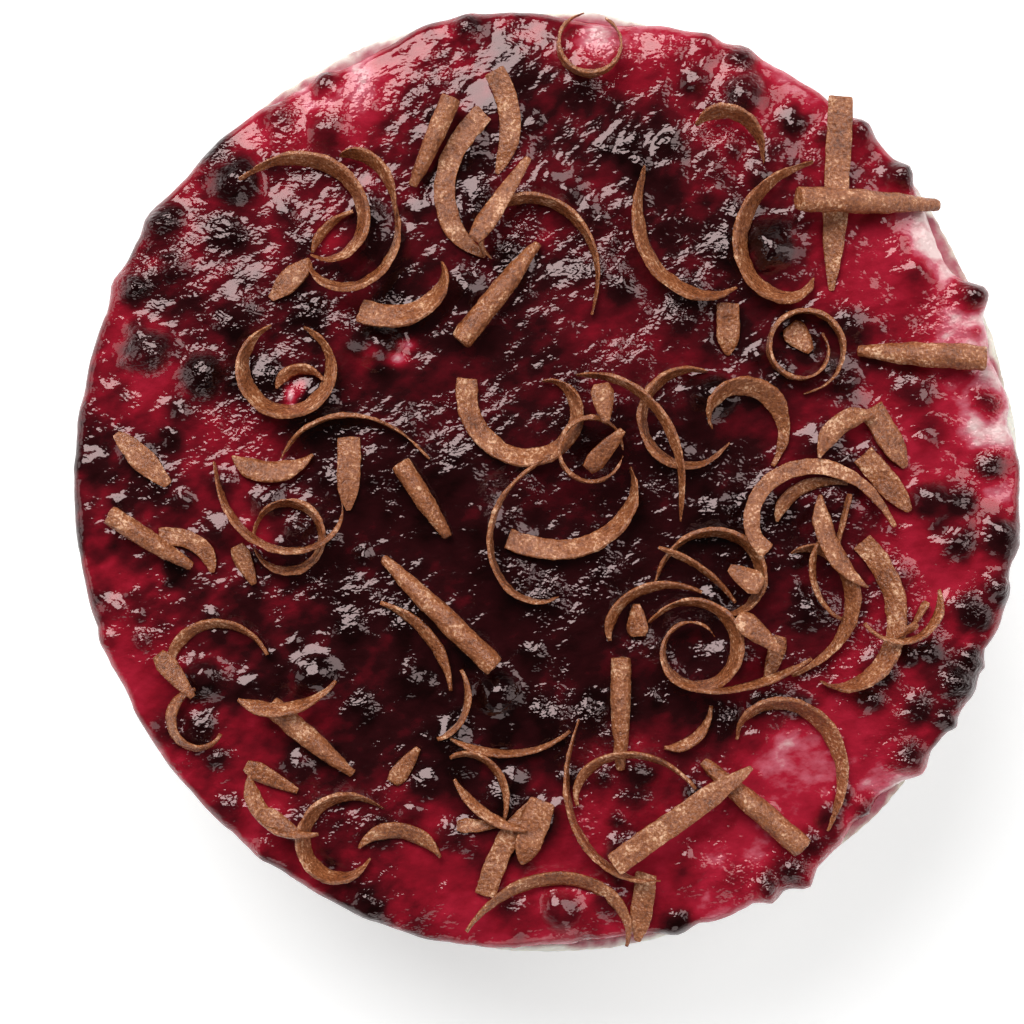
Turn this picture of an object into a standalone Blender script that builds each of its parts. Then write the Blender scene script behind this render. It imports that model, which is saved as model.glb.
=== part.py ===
"""A round chocolate layer cake: three sponges, two cream fillings and a cream top under a berry glaze,
with a loose crown of chocolate rolls, hoops, strips and chips.

Lengths are in millimetres up to the moment they reach Blender, which works in metres. The cake stands on
z = 0 with its centre on the z axis.
"""

import itertools
import math
import random

import bmesh
import bpy
import numpy as np
from mathutils import Matrix, Vector, noise
from mathutils.bvhtree import BVHTree

MM = 0.001

# The cake as a whole
CAKE_RADIUS = 111.0
GAP = 0.3
RIM_STEPS = 48
# Every layer has its rings at these radii, so that neighbours follow each other at the same distance
FACE_RADII = (60.0, 98.0, 107.0)
# The side of a layer: at which shares of its thickness its two rings lie, and their shares of its bulge
SIDE_RINGS = ((0.72, 1.0), (0.28, 0.9))
SHARP_EDGE = 50.0

# Each layer: name, thickness, how far its side bulges past the last ring, material
LAYERS = (
    ("sponge_bottom", 27.0, 1.2, "sponge"),
    ("cream_lower", 11.0, 1.8, "cream"),
    ("sponge_middle", 16.0, 1.4, "sponge"),
    ("cream_upper", 10.0, 2.0, "cream"),
    ("sponge_top", 16.0, 1.0, "sponge"),
    ("cream_top", 5.0, 3.4, "cream"),
)
# The border between the top sponge and the cream on it
DOME_BORDER = 5
# How far each border between two layers wanders up and down at the rim, bottom border first: a sum of
# waves that go round so many times, each with its own share
BORDER_WAVES = (0.0, 1.8, 1.6, 1.5, 1.6, 1.2, 0.5)
WAVE_TURNS = (3, 5, 8, 13)
WAVE_SHARES = (0.25, 0.5)
# The top sponge is domed: its edge lies lower, and the cream on it is thicker there
DOME_DROP = 3.5

# The sides wander in and out by this much, in lumps of this size
SIDE_UNEVENNESS = 1.2
SIDE_LUMP_SIZE = 16.0

# The berry glaze on top
GLAZE_THICKNESS = 3.4
GLAZE_RINGS = 12
GLAZE_LUMP = 1.3
GLAZE_LUMP_SIZE = 13.0
# Its rim: how far the upper edge is taken in and down, the height of the lower edge, and how far and how
# often the rim wanders on its way round
GLAZE_EDGE_IN = 1.5
GLAZE_EDGE_DOWN = 1.2
GLAZE_FOOT = 0.9
EDGE_UNEVENNESS = 0.7
EDGE_WAVES = 7.0
# Where the cream shows past the glaze at the rim: direction in degrees, half width in degrees, depth
BARE_PATCHES = ((30, 7, 4.5), (12, 5, 3.5), (-46, 7, 4.0), (84, 6, 3.5), (117, 8, 4.0), (-83, 9, 3.0))

# Whole berries that stand out of the glaze: direction in degrees, distance from the centre, diameter
CURRANTS = (
    (48, 109, 6.5), (41, 108, 6.0), (23, 108, 6.5), (16, 98, 6.0), (5, 88, 6.5), (-6, 107, 6.5),
    (-9, 95, 6.0), (-13, 107, 6.0), (-17, 98, 6.5), (-26, 107, 6.5), (-38, 107, 6.5), (-57, 109, 6.5),
    (-62, 108, 6.0), (147, 108, 6.5), (155, 107, 6.0), (151, 98, 6.0), (178, 107, 6.5), (-160, 108, 6.0),
    (-127, 108, 6.5), (-120, 101, 6.0), (70, 108, 6.0), (100, 107, 6.5),
)
CHERRIES = (
    (46, 76, 14), (162, 97, 14), (163, 84, 13), (142, 51, 13), (26, 44, 13), (-3, 89, 12),
    (-103, 51, 13), (136, 100, 13), (-150, 92, 13), (-140, 70, 13), (-88, 100, 12), (63, 100, 12),
)
# The share of its diameter by which a berry stands above the glaze, and from which diameter on it is
# modelled more finely
BERRY_SHOWS = 0.3
LARGE_BERRY = 8.0
# How much of the glaze's thickness a berry goes through, counted from below
BERRY_FOOT = 0.4

# Chocolate bands are six times as wide as thick. Hoops stand on edge and open upwards by about this
# angle, and strips lie flat but for a few degrees. Both twist a little from one end to the other
BAND_THICKNESS = 1 / 6
HOOP_LEAN = 22.0
HOOP_LEAN_SPREAD = (0.5, 1.6)
HOOP_TWIST = 26.0
STRIP_TWIST = 22.0
# In a crowd a hoop stands steeper: it takes the first of these shares of its lean that keeps it this low
STEEPER = (1.0, 0.6, 0.25, 0.0)
CROWDED = 2.5
STRIP_TILT = 14.0
# Some strips turn from lying almost flat to standing on edge: their leans at those two ends
FLAT_LEAN = 78.0
EDGE_LEAN = 10.0
# How the strips are called that rise to their edge along the route, and those that fall from it
STRIP_KINDS = {"rising": "strip", "falling": "strip"}
# A curved piece has one point for so many degrees of its turn, and a twisted strip for fewer
DEGREES_A_POINT = 24.0
TWISTED_DEGREES_A_POINT = 15.0
FEWEST_POINTS = 5
# At how many places the ground under a piece is felt, the smallest triangle that can carry it, and the
# steepest slope on which it stays
FOOT_SAMPLES = 60
CARRYING_AREA = 2.0
STEEPEST_REST = 0.4
# What each piece keeps from all that lies under it
REST_GAP = 0.35
SIDE_GAP = 0.45
# The width that a band has at its end, and how much it gains over its whole length: hoops at their flat-cut
# and drawn-out ends, strips at their drawn-out end
HOOP_START = (0.18, 3.6)
HOOP_END = (0.16, 2.5)
STRIP_END = (0.22, 3.0)
# A roll narrows by this share from this place on, and a chip has this width left at both ends
ROLL_NARROWING = 0.55
ROLL_NARROWS_FROM = 0.45
ROLL_CURVE = 1.5
CHIP_END = 0.35
CHIP_CURVE = 0.6


def line(start, end):
    """A straight run from one point to another."""
    return lambda t: (start[0] + (end[0] - start[0]) * t, start[1] + (end[1] - start[1]) * t)


def spiral(centre, radius_from, radius_to, angle_from, angle_to):
    """A run round a centre, with the radius going evenly from one length to another."""

    def at(t):
        angle = math.radians(angle_from + (angle_to - angle_from) * t)
        radius = radius_from + (radius_to - radius_from) * t
        return centre[0] + radius * math.cos(angle), centre[1] + radius * math.sin(angle)

    return at


# The chocolate pieces in the order in which they fell: kind, width, route seen from above
CHOCOLATES = (
    ("rising", 5.8, spiral((-29, 53), 19.9, 5.3, -136, -30)),
    ("strip", 5.0, spiral((-5, 59), 28, 11.6, 110, 217)),
    ("strip", 5.0, spiral((-29, 84), 19.9, 21.6, 33, -37)),
    ("strip", 5.4, line((-46, 10), (-46, -7))),
    ("strip", 5.6, line((73, 6), (84, -7))),
    ("strip", 4.2, spiral((-81, -25), 15, 5, 127, 47)),
    ("strip", 5.0, spiral((33, -109), 49, 50, 165, 135)),
    ("strip", 5.0, line((23, -91), (21, -107))),
    ("strip", 5.2, line((42, 41), (42, 29))),
    ("chip", 5.2, line((-64, 42), (-55, 51))),
    ("chip", 5.8, line((-100, 11), (-88, -1))),
    ("roll", 5.2, line((-22, 88), (-31, 68))),
    ("roll", 5.8, line((-20, 32), (-2, 55))),
    ("roll", 5.2, line((-34, 4), (-23, -13))),
    ("roll", 5.8, line((-12, -43), (-38, -18))),
    ("roll", 5.2, line((-101, -8), (-82, -20))),
    ("roll", 5.2, line((17, -41), (17, -67))),
    ("roll", 6.0, line((59, -85), (36, -65))),
    ("roll", 6.5, line((101, 28), (72, 30))),
    ("roll", 5.4, line((-64, -52), (-45, -68))),
    ("hoop", 5.9, spiral((10, 101), 7.6, 7.2, 100, 420)),
    ("hoop", 6.1, spiral((-54, 57), 21, 5, 144, -96)),
    ("hoop", 5.9, spiral((-51, 54), 18.9, 5, 34, -142)),
    ("hoop", 5.4, spiral((-51, 70), 6, 18.4, 61, -30)),
    ("hoop", 6.6, spiral((-60, 26), 10.7, 10.2, 112, 430)),
    ("hoop", 5.4, spiral((-60, -13), 8.4, 8.0, 200, 540)),
    ("hoop", 5.9, spiral((-52, -2), 26, 5, 166, 335)),
    ("hoop", 6.1, spiral((-52, -4), 13.3, 26.3, 136, 20)),
    ("hoop", 5.6, spiral((-9, 52), 4, 23.7, -171, -395)),
    ("hoop", 6.1, spiral((45, 53), 30, 8.5, 138, 262)),
    ("hoop", 5.4, spiral((38, 77), 6, 12.7, 126, -16)),
    ("hoop", 6.3, spiral((60, 50), 23.8, 3.5, 86, 300)),
    ("strip", 5.8, line((68, 89), (66, 44))),
    ("roll", 6.2, line((57, 64), (91, 64))),
    ("hoop", 6.1, spiral((59, 30.5), 10.5, 6.0, -87, 395)),
    ("hoop", 6.3, spiral((33, 14), 12, 10.6, 68, 330)),
    ("falling", 5.4, spiral((43, 13), 5, 13.4, -169, -405)),
    ("rising", 5.0, spiral((-2, 18), 17.5, 5, 161, 440)),
    ("hoop", 5.9, spiral((10, 7), 7.4, 7.6, 0, 350)),
    ("hoop", 5.4, spiral((4, -21), 27, 6, 96, 258)),
    ("rising", 5.0, spiral((11, 6), 28, 8.9, -136, -20)),
    ("hoop", 5.6, spiral((-1, 11), 15.3, 37.8, 60, -33)),
    ("hoop", 6.1, spiral((40, -24), 15, 7, -180, -449)),
    ("strip", 5.8, line((75, 17), (83, 3))),
    ("strip", 3.8, spiral((56, -14), 6, 24.5, -158, -352)),
    ("hoop", 5.1, spiral((56, -22), 5, 23.3, 83, -88)),
    ("rising", 5.2, spiral((61, -41), 29.4, 6, 66, -67)),
    ("hoop", 6.3, spiral((34, -39), 12, 5.5, 150, -330)),
    ("strip", 6.2, line((-1, -74), (-6, -89))),
    ("hoop", 5.9, spiral((32, -80), 35, 13.4, 135, 244)),
    ("hoop", 5.9, spiral((48, -63), 5, 25, 140, -47)),
    ("strip", 5.6, line((15, -88), (47, -66))),
    ("hoop", 6.1, spiral((-47, -84), 12, 7, 40, 330)),
)

COLOURS = {
    "sponge": ((0.060, 0.022, 0.012, 1.0), 0.9),
    "cream": ((0.83, 0.76, 0.64, 1.0), 0.6),
    "berry": ((0.10, 0.006, 0.010, 1.0), 0.15),
    "chocolate": ((0.24, 0.105, 0.055, 1.0), 0.5),
}


def clear_scene():
    for old in list(bpy.data.objects):
        bpy.data.objects.remove(old)


def new_collection(name):
    made = bpy.data.collections.new(name)
    bpy.context.scene.collection.children.link(made)
    return made


def new_material(name):
    colour, roughness = COLOURS[name]
    made = bpy.data.materials.new(name)
    made.use_nodes = True
    shader = made.node_tree.nodes["Principled BSDF"]
    shader.inputs["Base Color"].default_value = colour
    shader.inputs["Roughness"].default_value = roughness
    shader.inputs["Metallic"].default_value = 0.0
    return made


def place(obj, collection, material, parent):
    obj.data.materials.append(material)
    obj.parent = parent
    collection.objects.link(obj)


def border_wave(border, angle):
    """The height by which a border between layers leaves its level at the rim, in the direction of angle."""
    draw = random.Random(border)
    total = 0.0
    for turns in WAVE_TURNS:
        total += math.sin(turns * angle + draw.uniform(0, math.tau)) * draw.uniform(*WAVE_SHARES)
    return BORDER_WAVES[border] * total


def border_offset(border, radius, angle):
    """What is added to a border's level at a point: nothing at the centre, the full wave at the rim."""
    offset = border_wave(border, angle) * (radius / CAKE_RADIUS) ** 2
    if border == DOME_BORDER:
        inner, outer = FACE_RADII[1:]
        offset -= DOME_DROP * min(1.0, max(0.0, (radius - inner) / (outer - inner)))
    return offset


def turned(profile):
    """The solid made by turning a profile of (radius, height) points round the z axis."""
    made = bmesh.new()
    points = [made.verts.new((radius, 0.0, height)) for radius, height in profile]
    edges = [made.edges.new(pair) for pair in itertools.pairwise(points)]
    bmesh.ops.spin(
        made, geom=points + edges, cent=(0, 0, 0), axis=(0, 0, 1), angle=math.tau, steps=RIM_STEPS,
        use_merge=True,
    )
    bmesh.ops.remove_doubles(made, verts=made.verts, dist=1e-4)
    bmesh.ops.recalc_face_normals(made, faces=made.faces)
    return made


def finish_mesh(made, name):
    """Splits the faces along their shorter diagonal, alike on both sides of a gap, and makes the object."""
    bmesh.ops.triangulate(made, faces=made.faces, quad_method="SHORT_EDGE")
    bmesh.ops.scale(made, vec=(MM, MM, MM), verts=made.verts)
    mesh = bpy.data.meshes.new(name)
    made.to_mesh(mesh)
    made.free()
    mesh.shade_smooth()
    mesh.set_sharp_from_angle(angle=math.radians(SHARP_EDGE))
    return bpy.data.objects.new(name, mesh)


def layer(index, floor):
    """One layer as a turned disc whose two faces follow the wavy borders under and over it."""
    name, thickness, bulge, _ = LAYERS[index]
    top = floor + thickness
    rim = FACE_RADII[-1]
    profile = [(0.0, top), *((radius, top) for radius in FACE_RADII)]
    profile += [(rim + bulge * share, floor + level * thickness) for level, share in SIDE_RINGS]
    profile += [*((radius, floor) for radius in reversed(FACE_RADII)), (0.0, floor)]
    made = turned(profile)
    for vert in made.verts:
        radius, angle = math.hypot(vert.co.x, vert.co.y), math.atan2(vert.co.y, vert.co.x)
        share = (vert.co.z - floor) / thickness
        under = border_offset(index, radius, angle) + (GAP if index else 0.0)
        vert.co.z += (1 - share) * under + share * border_offset(index + 1, radius, angle)
        if radius > rim + GAP:
            bump = 1.0 + SIDE_UNEVENNESS * noise.noise(vert.co / SIDE_LUMP_SIZE) / radius
            vert.co.x *= bump
            vert.co.y *= bump
    return finish_mesh(made, name)


def glaze_reach(angle):
    """How far the glaze goes from the centre: an uneven edge that draws back at the bare patches."""
    around = Vector((math.cos(angle), math.sin(angle), 0.0)) * EDGE_WAVES
    reach = CAKE_RADIUS - EDGE_UNEVENNESS + EDGE_UNEVENNESS * noise.noise(around)
    for direction, half_width, depth in BARE_PATCHES:
        off = math.remainder(angle - math.radians(direction), math.tau) / math.radians(half_width)
        reach -= depth * math.exp(-off * off)
    return reach


def ball(direction, distance, diameter, floor):
    """One berry as a low ball with its foot flat in the glaze, which lies from the floor upwards."""
    made = bmesh.new()
    bmesh.ops.create_icosphere(made, subdivisions=2 if diameter > LARGE_BERRY else 1, radius=diameter / 2)
    angle = math.radians(direction)
    level = floor + border_offset(len(LAYERS), distance, angle)
    turn = Matrix.Rotation(angle, 4, "Z")
    middle = Matrix.Translation((distance, 0.0, level + GLAZE_THICKNESS + diameter * (BERRY_SHOWS - 0.5)))
    bmesh.ops.transform(made, matrix=turn @ middle, verts=made.verts)
    for vert in made.verts:
        vert.co.z = max(vert.co.z, level + BERRY_FOOT * GLAZE_THICKNESS)
    bmesh.ops.scale(made, vec=(MM, MM, MM), verts=made.verts)
    mesh = bpy.data.meshes.new("berry")
    made.to_mesh(mesh)
    made.free()
    return bpy.data.objects.new("berry", mesh)


def glaze(floor, collection):
    """The glaze as a lumpy turned disc, with the berries that stand out of it joined on."""
    top = floor + GLAZE_THICKNESS
    border = len(LAYERS)
    rim = FACE_RADII[-1]
    rings = [CAKE_RADIUS * (step + 1) / (GLAZE_RINGS + 1) for step in range(GLAZE_RINGS)]
    settled = rings[-2]
    profile = [(0.0, top), *((radius, top) for radius in rings)]
    profile += [(CAKE_RADIUS - GLAZE_EDGE_IN, top - GLAZE_EDGE_DOWN), (CAKE_RADIUS, floor + GLAZE_FOOT)]
    profile += [(rim, floor)]
    profile += [*((radius, floor) for radius in reversed(FACE_RADII[:-1])), (0.0, floor)]
    made = turned(profile)
    for vert in made.verts:
        radius, angle = math.hypot(vert.co.x, vert.co.y), math.atan2(vert.co.y, vert.co.x)
        share = (vert.co.z - floor) / GLAZE_THICKNESS
        lump = GLAZE_LUMP * noise.noise(Vector((vert.co.x, vert.co.y, 5.0)) / GLAZE_LUMP_SIZE)
        vert.co.z += border_offset(border, radius, angle) + (1 - share) * GAP + share * lump
        if share > 0 and radius > settled:
            drawn_back = 1.0 - glaze_reach(angle) / CAKE_RADIUS
            inward = 1.0 - drawn_back * (radius - settled) / (CAKE_RADIUS - settled)
            vert.co.x *= inward
            vert.co.y *= inward
    solid = finish_mesh(made, "berry_glaze")
    collection.objects.link(solid)
    berries = new_collection("berries")
    for direction, distance, diameter in CURRANTS + CHERRIES:
        berries.objects.link(ball(direction, distance, diameter, floor))
    join = solid.modifiers.new("berries", "BOOLEAN")
    join.operation = "UNION"
    join.operand_type = "COLLECTION"
    join.collection = berries
    join.solver = "EXACT"
    graph = bpy.context.evaluated_depsgraph_get()
    joined = bpy.data.meshes.new_from_object(solid.evaluated_get(graph))
    solid.modifiers.remove(join)
    solid.data = joined
    for berry in list(berries.objects):
        bpy.data.objects.remove(berry)
    bpy.data.collections.remove(berries)
    collection.objects.unlink(solid)
    return solid


class Ground:
    """The height of all that already lies on the cake, on a square grid seen from above."""

    CELL = 0.8
    MARGIN = 8.0
    WELL_ABOVE = 200.0

    def __init__(self, solid):
        reach = CAKE_RADIUS + self.MARGIN
        self.axis = np.arange(-reach, reach + self.CELL, self.CELL)
        tree = BVHTree.FromPolygons(
            [vert.co / MM for vert in solid.data.vertices], [face.vertices for face in solid.data.polygons]
        )
        lowest = min(vert.co.z for vert in solid.data.vertices) / MM
        self.height = np.full((len(self.axis), len(self.axis)), lowest)
        for row, y in enumerate(self.axis):
            for column, x in enumerate(self.axis):
                hit = tree.ray_cast(Vector((x, y, self.WELL_ABOVE)), Vector((0, 0, -1)))[0]
                if hit is not None:
                    self.height[row, column] = hit.z

    def near(self, x, y, radius):
        """The part of the grid round a point, and which of its cells lie within the radius."""
        radius = max(radius, self.CELL)
        columns = np.flatnonzero(np.abs(self.axis - x) <= radius)
        rows = np.flatnonzero(np.abs(self.axis - y) <= radius)
        part = (slice(rows[0], rows[-1] + 1), slice(columns[0], columns[-1] + 1))
        away = np.hypot(self.axis[part[1]][None, :] - x, self.axis[part[0]][:, None] - y)
        return part, away <= radius

    def highest(self, x, y, radius):
        part, inside = self.near(x, y, radius)
        return self.height[part][inside].max()

    def cover(self, x, y, radius, height):
        part, inside = self.near(x, y, radius)
        patch = self.height[part]
        patch[inside] = np.maximum(patch[inside], height)


def resting_plane(points, heights):
    """The plane over all heights that is lowest in the middle, as (height at 0, slope x, slope y).

    A stiff piece that falls flat comes to rest on such a plane, on two or three of the points under it.
    """
    middle = points.mean(axis=0)
    best = (heights.max(), 0.0, 0.0)
    lowest = heights.max()
    first, second = np.triu_indices(len(points), 1)
    run = points[second] - points[first]
    length = (run**2).sum(axis=1)
    slopes = [(heights[second] - heights[first])[:, None] * run / length[:, None]]
    anchors = [first]
    trio = np.array(list(itertools.combinations(range(0, len(points), 2), 3)))
    a, b = points[trio[:, 1]] - points[trio[:, 0]], points[trio[:, 2]] - points[trio[:, 0]]
    rise_a, rise_b = heights[trio[:, 1]] - heights[trio[:, 0]], heights[trio[:, 2]] - heights[trio[:, 0]]
    area = a[:, 0] * b[:, 1] - a[:, 1] * b[:, 0]
    wide = np.abs(area) > 2 * CARRYING_AREA
    slope = np.stack([rise_a * b[:, 1] - rise_b * a[:, 1], rise_b * a[:, 0] - rise_a * b[:, 0]], axis=1)
    slopes.append(slope[wide] / area[wide, None])
    anchors.append(trio[wide, 0])
    slopes, anchors = np.concatenate(slopes), np.concatenate(anchors)
    gentle = np.hypot(slopes[:, 0], slopes[:, 1]) <= STEEPEST_REST
    slopes, anchors = slopes[gentle], anchors[gentle]
    base = heights[anchors] - (slopes * points[anchors]).sum(axis=1)
    over = (base[:, None] + slopes @ points.T >= heights[None, :] - 1e-6).all(axis=1)
    for start, (slope_x, slope_y) in zip(base[over], slopes[over]):
        at_middle = start + slope_x * middle[0] + slope_y * middle[1]
        if at_middle < lowest:
            lowest, best = at_middle, (start, slope_x, slope_y)
    return best


def narrowing(kind, t):
    """The share of its full width that a piece has at t, which runs from 0 to 1 along it."""
    if kind == "roll":
        beyond = max(0.0, (t - ROLL_NARROWS_FROM) / (1.0 - ROLL_NARROWS_FROM))
        return 1.0 - ROLL_NARROWING * beyond**ROLL_CURVE
    if kind == "chip":
        return CHIP_END + (1.0 - CHIP_END) * math.sin(math.pi * t) ** CHIP_CURVE
    if kind in ("hoop", "falling"):
        return min(1.0, HOOP_START[0] + HOOP_START[1] * t, HOOP_END[0] + HOOP_END[1] * (1.0 - t))
    return min(1.0, STRIP_END[0] + STRIP_END[1] * (1.0 - t))


def outer_size(kind, width, tilts):
    """How wide and how tall a piece's cross-section is wherever it is tilted by tilts."""
    if kind == "roll":
        return np.full(len(tilts), width), np.full(len(tilts), width)
    flat, steep = np.abs(np.cos(tilts)), np.abs(np.sin(tilts))
    return width * (flat + BAND_THICKNESS * steep), width * (steep + BAND_THICKNESS * flat)


def possible_tilts(kind, turn, draw):
    """The tilts at both ends that a piece may take, the likeliest first, in degrees."""
    lean, tip = HOOP_LEAN * draw.uniform(*HOOP_LEAN_SPREAD), draw.uniform(-STRIP_TILT, STRIP_TILT)
    twist = draw.uniform(-1.0, 1.0)
    if kind == "roll":
        return [(0.0, 0.0)]
    if kind in STRIP_KINDS:
        ends = (90.0 + math.copysign(FLAT_LEAN, turn), 90.0 + math.copysign(EDGE_LEAN, turn))
        return [ends if kind == "rising" else ends[::-1]]
    if kind != "hoop":
        return [(tip - twist * STRIP_TWIST / 2, tip + twist * STRIP_TWIST / 2)]
    tilts = []
    for share in STEEPER:
        middle = 90.0 + math.copysign(share * lean, turn)
        tilts.append((middle - share * twist * HOOP_TWIST / 2, middle + share * twist * HOOP_TWIST / 2))
    return tilts


def chocolate(name, kind, width, route, ground, section, draw):
    """One piece, laid on what is already there, and added to the ground."""
    times = np.linspace(0, 1, FOOT_SAMPLES)
    samples = np.array([route(t) for t in times])
    headings = np.unwrap(np.arctan2(np.diff(samples[:, 1]), np.diff(samples[:, 0])))
    turn = headings[-1] - headings[0]
    shares = np.array([narrowing(kind, t) for t in times])
    rests = []
    for ends in possible_tilts(kind, turn, draw):
        across, tall = outer_size(kind, width, np.radians(np.interp(times, (0, 1), ends)))
        reach = across * shares / 2 + SIDE_GAP
        under = [ground.highest(x, y, radius) for (x, y), radius in zip(samples, reach)]
        under = np.array(under) + REST_GAP
        start, slope_x, slope_y = resting_plane(samples, under)
        lift = start + (samples @ (slope_x, slope_y)).mean() - under.min()
        rests.append((lift, ends, tall, reach, start, slope_x, slope_y))
        if lift < CROWDED:
            break
    else:
        rests = [min(rests, key=lambda rest: rest[0])]
    _, ends, tall, reach, start, slope_x, slope_y = rests[-1]
    for (x, y), radius, height in zip(samples, reach, tall * shares):
        ground.cover(x, y, radius, start + slope_x * x + slope_y * y + height)

    degrees_a_point = TWISTED_DEGREES_A_POINT if kind in STRIP_KINDS else DEGREES_A_POINT
    count = max(FEWEST_POINTS, math.ceil(math.degrees(abs(turn)) / degrees_a_point) + 1)
    curve = bpy.data.curves.new(name, "CURVE")
    curve.dimensions = "3D"
    curve.twist_mode = "Z_UP"
    curve.use_fill_caps = True
    if kind == "roll":
        curve.bevel_depth = 0.5 * MM
        curve.bevel_resolution = 2
    else:
        curve.bevel_mode = "OBJECT"
        curve.bevel_object = section
    spline = curve.splines.new("POLY")
    spline.points.add(count - 1)
    for step, point in enumerate(spline.points):
        t = step / (count - 1)
        x, y = route(t)
        share = narrowing(kind, t)
        z = start + slope_x * x + slope_y * y + share * np.interp(t, times, tall) / 2
        point.co = (x * MM, y * MM, z * MM, 1.0)
        point.radius = width * share
        point.tilt = math.radians(np.interp(t, (0, 1), ends))
    return bpy.data.objects.new(name, curve)


def band_section(collection):
    """The cross-section of every flat band, one millimetre wide: a curve's radius scales it."""
    curve = bpy.data.curves.new("band_section", "CURVE")
    curve.dimensions = "2D"
    spline = curve.splines.new("POLY")
    spline.points.add(3)
    half, thin = 0.5 * MM, 0.5 * BAND_THICKNESS * MM
    for point, corner in zip(spline.points, ((-half, -thin), (-half, thin), (half, thin), (half, -thin))):
        point.co = (*corner, 0.0, 1.0)
    spline.use_cyclic_u = True
    section = bpy.data.objects.new("band_section", curve)
    section.hide_render = True
    section.display_type = "WIRE"
    collection.objects.link(section)
    return section


def centre(root, solids):
    """Moves the cake so that the middle of its outline lies on the z axis."""
    bpy.context.view_layer.update()
    graph = bpy.context.evaluated_depsgraph_get()
    points = []
    for solid in solids:
        evaluated = solid.evaluated_get(graph)
        points += [vert.co.copy() for vert in evaluated.to_mesh().vertices]
        evaluated.to_mesh_clear()
    for axis in range(2):
        side = [point[axis] for point in points]
        root.location[axis] = -(min(side) + max(side)) / 2


def build():
    clear_scene()
    cake = new_collection("chocolate_cake")
    guides = new_collection("guides")
    root = bpy.data.objects.new("cake_centre", None)
    cake.objects.link(root)
    materials = {name: new_material(name) for name in COLOURS}

    floor = 0.0
    for index, (_, thickness, _, finish) in enumerate(LAYERS):
        place(layer(index, floor), cake, materials[finish], root)
        floor += thickness
    topping = glaze(floor, cake)
    place(topping, cake, materials["berry"], root)

    ground = Ground(topping)
    section = band_section(guides)
    draw = random.Random(7)
    made = dict.fromkeys(("roll", "hoop", "strip", "chip"), 0)
    for kind, width, route in CHOCOLATES:
        group = STRIP_KINDS.get(kind, kind)
        made[group] += 1
        name = f"chocolate_{group}_{made[group]:02d}"
        place(chocolate(name, kind, width, route, ground, section, draw), cake, materials["chocolate"], root)
    centre(root, [obj for obj in cake.objects if obj.type != "EMPTY"])


build()
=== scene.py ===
"""Looks of the chocolate layer cake: open crumb, spread cream, wet berry glaze and grainy chocolate."""

import math
import random

import bmesh
import bpy
import numpy as np
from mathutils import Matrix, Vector
from mathutils.bvhtree import BVHTree


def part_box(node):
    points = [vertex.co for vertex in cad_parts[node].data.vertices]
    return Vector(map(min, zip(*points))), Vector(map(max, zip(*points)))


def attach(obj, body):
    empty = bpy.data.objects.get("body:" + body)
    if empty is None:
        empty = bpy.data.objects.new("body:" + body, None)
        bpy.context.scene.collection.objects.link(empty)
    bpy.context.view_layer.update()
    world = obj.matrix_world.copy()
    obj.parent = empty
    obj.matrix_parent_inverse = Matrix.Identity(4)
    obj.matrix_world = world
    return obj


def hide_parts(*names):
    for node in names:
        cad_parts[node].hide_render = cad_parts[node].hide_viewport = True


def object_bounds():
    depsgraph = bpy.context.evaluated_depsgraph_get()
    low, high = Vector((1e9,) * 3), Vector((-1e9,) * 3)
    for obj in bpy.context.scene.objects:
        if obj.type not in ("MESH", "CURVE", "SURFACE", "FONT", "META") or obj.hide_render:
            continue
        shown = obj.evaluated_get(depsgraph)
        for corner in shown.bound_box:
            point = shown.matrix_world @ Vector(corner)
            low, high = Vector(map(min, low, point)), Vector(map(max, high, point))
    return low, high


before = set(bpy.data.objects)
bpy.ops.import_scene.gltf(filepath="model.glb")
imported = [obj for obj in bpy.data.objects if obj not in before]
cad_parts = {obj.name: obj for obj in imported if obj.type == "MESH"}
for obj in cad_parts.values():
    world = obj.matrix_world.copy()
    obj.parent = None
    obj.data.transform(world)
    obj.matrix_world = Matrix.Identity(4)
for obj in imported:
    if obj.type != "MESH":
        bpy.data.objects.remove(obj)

cad_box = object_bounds()

MM = 0.001

# The photograph: millimetres of cake to a pixel, and the pixel over which the cake's middle lies
MM_PER_PIXEL = 0.2328
CAKE_PIXEL = (547.5, 481.0)
IMAGE_SIDE = 1024
LENS = 85.0
SENSOR = 36.0

# The finest step of the meshes, in metres
SPONGE_STEP = 0.62 * MM
CREAM_STEP = 0.75 * MM
GLAZE_SIDE = 292
CHOCOLATE_LEVELS = 3

# From where rays are sent at the solids: well above, below and beside the cake, in metres
ABOVE = 0.3
BELOW = -0.1
BESIDE = 0.2
DOWN, UP = (0, 0, -1), (0, 0, 1)


# Noise, worked out for whole arrays of points at once

def hashed(ix, iy, iz, seed):
    """A fixed number from -1 to 1 for each point of a lattice."""
    n = (ix * 73856093) ^ (iy * 19349663) ^ (iz * 83492791) ^ (seed * 40503 + 977)
    n = ((n ^ (n >> 13)) * 1274126177) & 0x7FFFFFFF
    n = (n ^ (n >> 16)) & 0xFFFF
    return n / 32767.5 - 1.0


def smooth_noise(points, size, seed=0):
    """Soft noise from -1 to 1, whose lumps are about as large as size."""
    scaled = np.asarray(points) / size
    low = np.floor(scaled).astype(np.int64)
    part = scaled - low
    part = part * part * (3 - 2 * part)
    total = 0.0
    for dx in (0, 1):
        for dy in (0, 1):
            for dz in (0, 1):
                weight = np.abs(1 - dx - part[:, 0]) * np.abs(1 - dy - part[:, 1])
                weight = weight * np.abs(1 - dz - part[:, 2])
                total = total + weight * hashed(low[:, 0] + dx, low[:, 1] + dy, low[:, 2] + dz, seed)
    return total


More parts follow.
